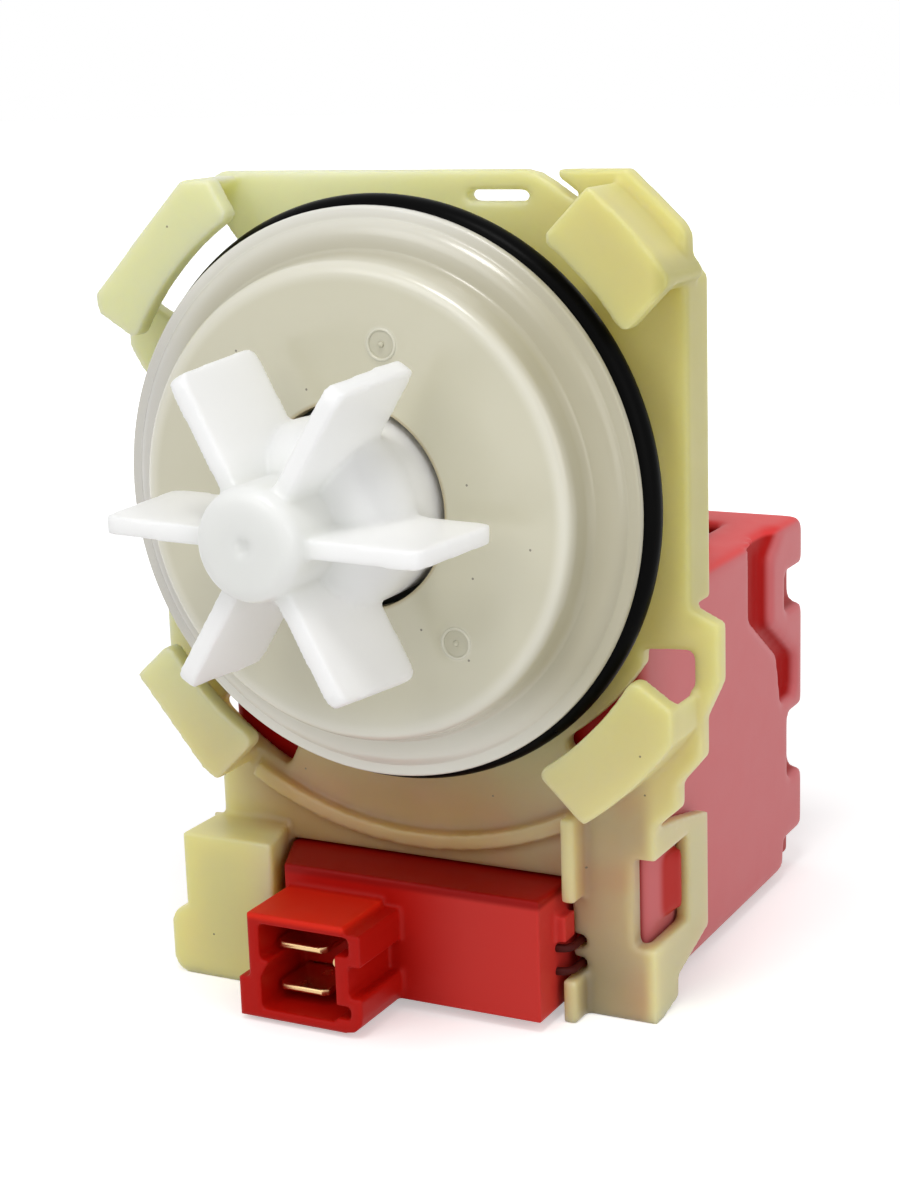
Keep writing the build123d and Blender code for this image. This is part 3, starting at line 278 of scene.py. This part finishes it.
def nylon_colour_and_painted_shade(tree):
    """Natural nylon: pale green at the top left, yellower right, brown where red is behind,
    with painted shade low on the skirt.
    """
    base = blended(tree, zone(tree, "X", -8.0, 26.0), (0.79, 0.81, 0.48), (0.68, 0.615, 0.22))
    base = blended(tree, zone(tree, "Z", -14.0, -34.0), base, (0.72, 0.635, 0.31))
    rim = times(tree, zone(tree, "X", 31.4, 33.4), zone(tree, "Z", -14.0, -10.0))
    base = blended(tree, rim, base, (0.40, 0.365, 0.09))
    hooks = times(tree, zone(tree, "Z", -40.0, -36.0), zone(tree, "Y", 4.0, 1.0))
    base = blended(tree, times(tree, hooks, 0.2), base, (0.36, 0.35, 0.16))
    left_block = times(tree, zone(tree, "Z", -38.0, -42.0), zone(tree, "X", -16.0, -20.0))
    base = blended(tree, left_block, base, (0.78, 0.69, 0.27))
    red_behind = times(tree, zone(tree, "Z", -26.0, -37.0), zone(tree, "Y", 3.0, 7.4))
    red_behind = times(tree, red_behind, zone(tree, "X", -27.0, -16.0))
    red_behind = times(tree, red_behind, zone(tree, "X", 28.6, 26.4))
    shade = blended(tree, zone(tree, "X", 4.0, 20.0), (0.40, 0.17, 0.02), (0.46, 0.325, 0.18))
    patch = add(tree, "ShaderNodeTexNoise", [
        ("Vector", object_place(tree)), ("Scale", 130.0), ("Detail", 1.0),
    ])
    strength = add(tree, "ShaderNodeMapRange", [
        ("Value", patch.outputs["Fac"]), ("From Min", 0.45), ("From Max", 0.65), ("To Max", 0.5),
    ])
    shade = blended(tree, strength.outputs["Result"], shade, (0.48, 0.16, 0.07))
    # Painted shade: the brown darker low on the skirt
    foot = times(tree, zone(tree, "Z", -46.0, -55.0), zone(tree, "X", 29.0, 21.0))
    shade = blended(tree, foot, shade, (0.24, 0.165, 0.085))
    base = blended(tree, times(tree, red_behind, 0.85), base, shade)
    return specked(tree, base, spacing=9.0, radius=0.12, share=0.35, dirt=(0.16, 0.13, 0.07))


def marked(tree, base):
    """A darker disc at each ejector mark, with a pale rim that is a painted highlight."""
    flat = seen_along_axis(tree)
    # Pale rim: painted highlight; darker disc inside it
    rim = (2.0, 1.7, (0.67, 0.65, 0.53))
    disc = (1.6, 1.3, (0.47, 0.45, 0.33))
    for distance, angle in MARKS:
        apart = add(tree, "ShaderNodeVectorMath", [
            (0, flat), (1, mark_place(distance, angle)),
        ], operation="DISTANCE")
        for start, end, shade in (rim, disc):
            ramp = add(tree, "ShaderNodeMapRange", [
                ("Value", apart.outputs["Value"]),
                ("From Min", start * MM), ("From Max", end * MM), ("To Max", 0.8),
            ])
            base = blended(tree, ramp.outputs["Result"], base, shade)
    return base


def cover_colour_and_painted_light(tree):
    """Cream drum face with marks and specks; painted shade at the hole edge in brown, at the
    drum's foot, on the right of the drum edge and on the left of its side; a painted highlight
    on the drum edge; a greyer band that pales towards the lip, partly the painted foot shade
    fading, and a paler lip; painted light on the lower face."""
    # Painted shade: the hole's edge in brown
    hole = around_axis(tree, HOLE_RADIUS + 0.5, HOLE_RADIUS + 0.1)
    face = marked(tree, blended(tree, hole, (0.585, 0.56, 0.42), (0.42, 0.34, 0.18)))
    base = specked(tree, face, spacing=6.5, radius=0.13, share=0.4, dirt=(0.14, 0.12, 0.09))
    # Painted highlight on the drum edge, painted shade at the drum's foot, the band paling out of
    # that shade, and a paler lip
    for start, end, shade in (
        (DRUM_RADIUS - 2.3, DRUM_RADIUS - 0.9, (0.72, 0.70, 0.59)),
        (DRUM_RADIUS - 0.2, DRUM_RADIUS + 0.5, (0.46, 0.435, 0.33)),
        (DRUM_RADIUS + 0.8, LIP_RADIUS - 1.25, (0.66, 0.645, 0.57)),
        (LIP_RADIUS - 1.25, LIP_RADIUS - 0.25, (0.74, 0.73, 0.68)),
    ):
        base = blended(tree, around_axis(tree, start, end), base, shade)
    # Painted shade on the right of the drum edge
    right = times(tree, zone(tree, "X", 4.0, 24.0), around_axis(tree, 24.6, 25.6))
    base = blended(tree, times(tree, right, 0.9), base, (0.37, 0.335, 0.21))
    # Painted shade, greyer, on the left of the drum's side and foot
    left = times(tree, zone(tree, "X", -18.0, -27.0), around_axis(tree, 25.5, 27.5))
    base = blended(tree, left, base, (0.58, 0.565, 0.53))
    # Painted light: the lower drum face paler
    low = times(tree, zone(tree, "Z", -15.0, -27.0), around_axis(tree, 20.0, 25.0))
    return blended(tree, times(tree, low, 0.7), base, (0.76, 0.75, 0.68))


def impeller_painted_shade(tree):
    """Painted shade: the nose and the hub between the vanes are a touch greyer than the vanes."""
    return blended(tree, around_axis(tree, 4.5, 9.5), (0.74, 0.75, 0.72), (0.93, 0.94, 0.93))


def painted_sheen_tint(tree):
    """Painted sheen in dusty pink on the coil cover's sides, painted light in clear red on its
    top, deep red in its channels, as painted shade, and on its lugs."""
    # Painted sheen: mask of the sides, below the top
    sides = combine(
        tree, "MAXIMUM", zone(tree, "X", COIL_SIDE - 1.2, COIL_SIDE - 0.3),
        zone(tree, "X", 1.2 - COIL_SIDE, 0.3 - COIL_SIDE),
    )
    sides = times(tree, sides, zone(tree, "Z", COIL_TOP - 0.1, COIL_TOP - 0.9))
    # Painted light: the top in clearer red; elsewhere deep red, painted shade in the channels
    top = zone(tree, "Z", COIL_TOP - 1.1, COIL_TOP - 0.6)
    base = blended(tree, top, (0.42, 0.002, 0.001), (0.85, 0.05, 0.05))
    # The lugs keep deep red in place of the painted sheen
    lug = zone(tree, "X", COIL_SIDE + 0.3, COIL_SIDE + 0.7)
    painted_sheen = blended(tree, lug, (0.66, 0.165, 0.175), (0.50, 0.02, 0.015))
    return blended(tree, sides, base, painted_sheen)


def block_colour_and_painted_light(tree):
    """The terminal block is darker towards its left, darker on its top as painted shade, and
    paler on the shroud's top as painted light.
    """
    base = blended(tree, zone(tree, "X", -1.0, 10.0), (0.44, 0.004, 0.001), (0.57, 0.035, 0.028))
    # Painted shade on the block's top
    top = zone(tree, "Z", BLOCK_TOP - 1.3, BLOCK_TOP - 0.6)
    base = blended(tree, top, base, (0.28, 0.002, 0.001))
    # Painted light on the shroud's top
    plug_top = times(
        tree, zone(tree, "Z", PLUG_TOP - 0.9, PLUG_TOP - 0.2),
        zone(tree, "Y", BLOCK_FRONT - 0.1, BLOCK_FRONT - 1.1),
    )
    return blended(tree, plug_top, base, (0.78, 0.022, 0.006))


RED_CLOUD = (0.58, 0.012, 0.006)
RED_BLEED = (1.0, 0.2, 0.15)
nylon = moulded(
    "natural nylon", nylon_colour_and_painted_shade, (0.80, 0.78, 0.50), amount=0.25, cloud_scale=45.0,
    rough=0.3, spread=0.16, bump=0.08, Specular_IOR_Level=0.4,
    Subsurface_Weight=1.0, Subsurface_Scale=6.0 * MM, Subsurface_Radius=(1.0, 0.9, 0.5),
)
cream = moulded(
    "cream moulding", cover_colour_and_painted_light, (0.72, 0.69, 0.56), amount=0.35, cloud_scale=35.0,
    rough=0.18, spread=0.12, bump=0.04, Specular_IOR_Level=0.7,
    Subsurface_Weight=0.12, Subsurface_Scale=1.0 * MM, Subsurface_Radius=(1.0, 0.9, 0.7),
)
white = moulded(
    "white moulding", impeller_painted_shade, (0.95, 0.95, 0.95), rough=0.26, spread=0.12, bump=0.03,
    Subsurface_Weight=0.8, Subsurface_Scale=4.0 * MM, Subsurface_Radius=(1.0, 1.0, 1.0),
)
red = moulded(
    "red moulding", (0.54, 0.007, 0.002), RED_CLOUD, cloud_scale=80.0,
    rough=0.38, spread=0.14, bump=0.1, Specular_IOR_Level=0.2,
    Subsurface_Weight=0.25, Subsurface_Scale=1.5 * MM, Subsurface_Radius=RED_BLEED,
)
red_block = moulded(
    "red block moulding", block_colour_and_painted_light, RED_CLOUD, amount=0.2, cloud_scale=80.0,
    rough=0.38, spread=0.14, bump=0.1, Specular_IOR_Level=0.15,
    Subsurface_Weight=0.2, Subsurface_Scale=1.0 * MM, Subsurface_Radius=RED_BLEED,
)
# Red moulding for the coil cover, with painted sheen on its sides and painted light on its top
red_painted_sheen = moulded(
    "red moulding with painted sheen", painted_sheen_tint, (0.60, 0.03, 0.02), amount=0.1, cloud_scale=80.0,
    rough=0.34, spread=0.14, bump=0.1, Specular_IOR_Level=0.14,
    Subsurface_Weight=0.08, Subsurface_Scale=0.8 * MM, Subsurface_Radius=RED_BLEED,
)
grey = moulded("grey moulding", (0.27, 0.27, 0.26), (0.32, 0.32, 0.31))
black = moulded("black moulding", (0.012, 0.012, 0.012), (0.02, 0.02, 0.02), rough=0.35)
graphite = moulded("graphite bush", (0.03, 0.03, 0.032), (0.05, 0.05, 0.05), rough=0.45)
ferrite = moulded("sintered ferrite", (0.025, 0.025, 0.028), (0.045, 0.045, 0.045), rough=0.5)
rubber = moulded("seal rubber", (0.002, 0.002, 0.002), (0.004, 0.004, 0.004), rough=0.2,
                 spread=0.2, bump=0.1, IOR=1.095)
sleeve = moulded("lead sleeve", (0.05, 0.003, 0.002), (0.07, 0.006, 0.005), rough=0.5,
                 Specular_IOR_Level=0.15)

WAVE_RATE = 20.0    # radians that the band texture turns through in a unit at scale 1


def metal(name, colour, rough, lines=None):
    """Worked metal; lines is (axis, pitch, depth) of stacked sheets or wire turns, the last
    two in millimetres."""
    smear_scale, smear_shade, wear = 400.0, 0.85, 0.15
    material, tree, shader = new_material(name)
    shader.inputs["Metallic"].default_value = 1.0
    place = object_place(tree)
    smear = add(tree, "ShaderNodeTexNoise", [
        ("Vector", place), ("Scale", smear_scale), ("Detail", 5.0),
    ]).outputs["Fac"]
    tone = blended(tree, smear, [smear_shade * share for share in colour], colour)
    tree.links.new(tone, shader.inputs["Base Color"])
    worn = add(tree, "ShaderNodeMath", [
        (0, smear), (1, wear), (2, rough),
    ], operation="MULTIPLY_ADD")
    tree.links.new(worn.outputs[0], shader.inputs["Roughness"])
    if lines:
        axis, pitch, depth = lines
        wave = add(tree, "ShaderNodeTexWave", [
            ("Vector", place), ("Scale", 2 * pi / (WAVE_RATE * pitch * MM)), ("Distortion", 0.0),
        ], wave_type="BANDS", bands_direction=axis)
        dent = add(tree, "ShaderNodeBump", [
            ("Strength", 0.6), ("Distance", depth * MM), ("Height", wave.outputs["Fac"]),
        ])
        tree.links.new(dent.outputs["Normal"], shader.inputs["Normal"])
    return material


steel = metal("plain steel", (0.60, 0.60, 0.60), 0.22)
lamination = metal("core sheets", (0.36, 0.37, 0.39), 0.35, lines=("Y", 1.0, 0.05))
copper = metal("enamelled copper", (0.58, 0.22, 0.07), 0.25, lines=("Z", 0.6, 0.08))
brass = metal("tab brass", (0.83, 0.58, 0.30), 0.18)

slot_finish = {
    "nylon_bracket": nylon, "cream_cover": cream, "white_impeller": white, "red_plastic": red,
    "grey_holder": grey, "black_carrier": black, "seal_rubber": rubber,
    "graphite_bush": graphite, "steel_plain": steel, "magnet_ferrite": ferrite,
    "core_laminations": lamination, "copper_winding": copper, "tab_brass": brass,
    "lead_sleeve": sleeve,
}
node_slot = {part["node"]: part["material_slot"] for part in frame["record"]["subparts"]}
node_finish = {"coil_cover": red_painted_sheen, "terminal_block": red_block}
body_of = {
    node: body
    for body, members in frame["record"]["behaviour"]["bodies"].items() for node in members
}


def dress(piece, finish):
    piece.data.materials.clear()
    piece.data.materials.append(finish)


def finish_of(node):
    return node_finish.get(node, slot_finish[node_slot[node]])


for node, cad_piece in nodes.items():
    dress(cad_piece, finish_of(node))


# Pieces
def settle(piece, node):
    """New piece stands for the CAD node, in its finish and on its body."""
    dress(piece, finish_of(node))
    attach(piece, body_of[node])
    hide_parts(node)


def placed(name, data):
    """New object of this mesh, camera or light, in the scene."""
    item = bpy.data.objects.new(name, data)
    bpy.context.scene.collection.objects.link(item)
    return item


def as_object(bm, name):
    mesh = bpy.data.meshes.new(name)
    bm.to_mesh(mesh)
    bm.free()
    return placed(name, mesh)


def merged_copy(node):
    """Copy of a CAD node as one joined mesh, without the lines across its flat faces."""
    bm = bmesh.new()
    bm.from_mesh(nodes[node].data)
    bmesh.ops.remove_doubles(bm, verts=bm.verts, dist=0.002 * MM)
    bmesh.ops.dissolve_limit(bm, angle_limit=radians(0.5), verts=bm.verts, edges=bm.edges)
    return as_object(bm, f"{node}_moulding")


def round_edges(piece, **settings):
    """Rounds the piece's sharp edges."""
    width, sharp = 0.12, 30.0
    configured(
        piece.modifiers.new("edge rounding", "BEVEL"), width=width * MM, limit_method="ANGLE",
        angle_limit=radians(sharp), harden_normals=True, **settings,
    )


for node in ("terminal_tab_upper", "terminal_tab_lower"):
    tab = merged_copy(node)
    tab.data.shade_smooth()
    round_edges(tab, segments=3, miter_outer="MITER_ARC")
    settle(tab, node)


def spun(points, name, steps=160):
    """Closed ring from a profile of (radius, depth) points in millimetres, round the axis."""
    bm = bmesh.new()
    corners = [bm.verts.new((radius * MM, depth * MM, 0.0)) for radius, depth in points]
    for first, second in zip(corners, corners[1:] + corners[:1]):
        bm.edges.new((first, second))
    bmesh.ops.spin(
        bm, geom=bm.verts[:] + bm.edges[:], cent=(0.0, 0.0, 0.0), axis=(0.0, 1.0, 0.0),
        angle=2 * pi, steps=steps, use_merge=True,
    )
    bmesh.ops.remove_doubles(bm, verts=bm.verts, dist=0.001 * MM)
    bmesh.ops.recalc_face_normals(bm, faces=bm.faces)
    piece = as_object(bm, name)
    piece.data.shade_smooth()
    return piece


def arc(centre, radius, start, end, segments=6):
    """Profile points along a circle; angles in degrees, from the radius towards the depth."""
    angles = [radians(start + (end - start) * step / segments) for step in range(segments + 1)]
    return [(centre[0] + radius * cos(a), centre[1] + radius * sin(a)) for a in angles]


# Cover: centre hole, dished face, rounded drum edge, band, lip, seal groove and rear
GROOVE_RADIUS = 28.05
FLANGE_RADIUS = 28.9
INNER_RADIUS = 23.3
SEAT_RADIUS = 24.05
WALL_REAR = DRUM_FRONT + 2.7
cover_profile = [
    (HOLE_RADIUS, WALL_REAR), (HOLE_RADIUS, DRUM_FRONT + 0.5), (17.0, DRUM_FRONT + 0.26),
    *arc((DRUM_RADIUS - 1.5, DRUM_FRONT + 1.5), 1.5, -90.0, -4.0),
    (25.75, -3.0), (26.0, -2.2), (26.35, -1.85), (26.9, -1.76), (27.7, -1.7),
    (28.3, -1.56), (28.8, -1.28), (29.15, -0.92), (29.35, -0.66), (29.65, -0.6),
    *arc((LIP_RADIUS - 0.35, -0.25), 0.35, -90.0, 0.0, 4),
    (LIP_RADIUS, 0.35), (GROOVE_RADIUS, 0.6), (GROOVE_RADIUS, 4.4), (FLANGE_RADIUS, 4.4),
    (FLANGE_RADIUS, PLATE_FRONT), (SEAT_RADIUS, PLATE_FRONT), (SEAT_RADIUS, PLATE_FRONT - 5.0),
    (INNER_RADIUS, PLATE_FRONT - 7.2), (INNER_RADIUS, WALL_REAR),
]
cover = spun(cover_profile, "front_cover_moulding")
round_edges(cover, segments=2)
settle(cover, "front_cover")

# Ejector marks on the drum's face: a faint ring round a small nib
face = DRUM_FRONT + 0.24
ring = arc((MARK_RADIUS, face), 0.18, -180.0, 0.0) + [(MARK_RADIUS, face + 0.3)]
nib = [(0.0, face - 0.3), (0.22, face - 0.26), (0.4, face + 0.1), (0.0, face + 0.1)]
for index, (distance, angle) in enumerate(MARKS):
    for part, profile in (("ring", ring), ("nib", nib)):
        mark = spun(profile, f"ejector_mark_{part}_{index + 1}", steps=32)
        mark.data.transform(Matrix.Translation(mark_place(distance, angle)))
        dress(mark, cream)
        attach(mark, body_of["front_cover"])

# Seal ring in the cover's groove, with 24 corners round its section
SEAL_MIDDLE, SEAL_THICKNESS = (29.9, 2.5), 3.6
settle(spun(arc(SEAL_MIDDLE, SEAL_THICKNESS / 2, 0.0, 345.0, 23), "seal_ring"), "cover_o_ring")


def flowed(node, voxel, passes, kept=1.0):
    """Copy of a CAD node with a moulding's soft fillets; voxel in millimetres, kept is the
    share of triangles left."""
    piece = merged_copy(node)
    skin = piece.modifiers.new("even skin", "REMESH")
    configured(skin, mode="VOXEL", voxel_size=voxel * MM, use_smooth_shade=True)
    fillets = piece.modifiers.new("fillets", "SMOOTH")
    configured(fillets, factor=0.5, iterations=passes)
    if kept < 1.0:
        piece.modifiers.new("thinning", "DECIMATE").ratio = kept
    settle(piece, node)


flowed("impeller", 0.3, 7)
flowed("mounting_bracket", 0.32, 6, kept=0.5)
flowed("coil_cover", 0.56, 8)
flowed("terminal_block", 0.25, 2)

# Camera, fitted to the photo: AXIS_PX is where the pump's axis meets the plate's front in the
# picture, and RANGE is how far in front of the eye that point lies along the view
PHOTO_WIDTH, PHOTO_HEIGHT = 900, 1200
FOCAL_PX = 2296.17
AZIMUTH, ELEVATION, ROLL = radians(27.73), radians(13.60), radians(-1.93)
AXIS_PX = (409.77, 484.18)
RANGE = 250.08
SENSOR = 36.0

side = Vector((cos(AZIMUTH), sin(AZIMUTH), 0.0))
back = Vector((sin(AZIMUTH) * cos(ELEVATION), -cos(AZIMUTH) * cos(ELEVATION), sin(ELEVATION)))
rise = side.cross(-back)
across = cos(ROLL) * side + sin(ROLL) * rise
upward = -sin(ROLL) * side + cos(ROLL) * rise
right_px = AXIS_PX[0] - PHOTO_WIDTH / 2
down_px = AXIS_PX[1] - PHOTO_HEIGHT / 2
eye = back * RANGE - (across * right_px - upward * down_px) / FOCAL_PX * RANGE
eye.y += PLATE_FRONT
camera = placed("camera", configured(
    bpy.data.cameras.new("camera"), sensor_width=SENSOR, lens=FOCAL_PX * SENSOR / PHOTO_HEIGHT,
    clip_start=0.01,
))
turn = Matrix((across, upward, back)).transposed()
camera.matrix_world = Matrix.Translation(eye * MM) @ turn.to_4x4()
bpy.context.scene.camera = camera


# Lights
def panel(name, place, target, size, power):
    """Soft white studio panel at this place, in millimetres, turned to its target."""
    lamp = placed(name, configured(
        bpy.data.lights.new(name, "AREA"), shape="RECTANGLE", size=size[0] * MM,
        size_y=size[1] * MM, energy=power,
    ))
    lamp.location = Vector(place) * MM
    lamp.rotation_euler = (Vector(target) - Vector(place)).to_track_quat("-Z", "Y").to_euler()


panel("key panel", (-120, -430, 300), (0, 0, 0), (300, 300), 0.5)
panel("top panel", (60, -190, 450), (0, 10, 0), (130, 130), 0.8)
panel("right panel", (400, -200, 120), (20, 20, -20), (240, 320), 0.34)


def seen_or_mirrored(tree):
    """1 for rays from the camera, from gloss or through clear pieces, else 0."""
    path = add(tree, "ShaderNodeLightPath")
    seen = path.outputs["Is Camera Ray"]
    for kind in ("Is Glossy Ray", "Is Transmission Ray"):
        seen = combine(tree, "MAXIMUM", seen, path.outputs[kind])
    return seen


# Pale floor: the glow makes it white around the object, and dimmer near it for the shadow
WHITE = (1.0, 1.0, 1.0, 1.0)
FLOOR_HALF_WIDTH = 3.0              # metres
GLOW_START, GLOW_END = 0.12, 0.4    # metres from the origin, where the glow rises
NEAR_GLOW = 0.42
bm = bmesh.new()
bmesh.ops.create_grid(bm, x_segments=1, y_segments=1, size=FLOOR_HALF_WIDTH)
bmesh.ops.translate(bm, verts=bm.verts, vec=(0, 0, cad_box[0].z))
floor = as_object(bm, "floor")
floor_material = bpy.data.materials.new("pale floor")
ground = cleared(floor_material)
matt = add(ground, "ShaderNodeBsdfDiffuse", [("Color", (0.88, 0.88, 0.88, 1.0))])
away = add(ground, "ShaderNodeVectorMath", [(0, object_place(ground))], operation="LENGTH")
far = add(ground, "ShaderNodeMapRange", [
    ("Value", away.outputs["Value"]), ("From Min", GLOW_START), ("From Max", GLOW_END),
    ("To Min", NEAR_GLOW), ("To Max", 1.0),
])
glow = add(ground, "ShaderNodeEmission", [
    ("Color", WHITE),
    ("Strength", times(ground, seen_or_mirrored(ground), far.outputs["Result"])),
])
whole = add(ground, "ShaderNodeAddShader", [(0, matt.outputs[0]), (1, glow.outputs[0])])
add(ground, "ShaderNodeOutputMaterial", [("Surface", whole.outputs[0])])
dress(floor, floor_material)

# White surroundings that light the object at half strength
SKY_LIGHT = 0.5
world = bpy.data.worlds.new("studio")
bpy.context.scene.world = world
sky = cleared(world)
level = add(sky, "ShaderNodeMapRange", [
    ("Value", seen_or_mirrored(sky)), ("To Min", SKY_LIGHT), ("To Max", 1.0),
])
light = add(sky, "ShaderNodeBackground", [
    ("Color", WHITE), ("Strength", level.outputs["Result"]),
])
add(sky, "ShaderNodeOutputWorld", [("Surface", light.outputs[0])])
bpy.context.scene.view_settings.view_transform = "Standard"
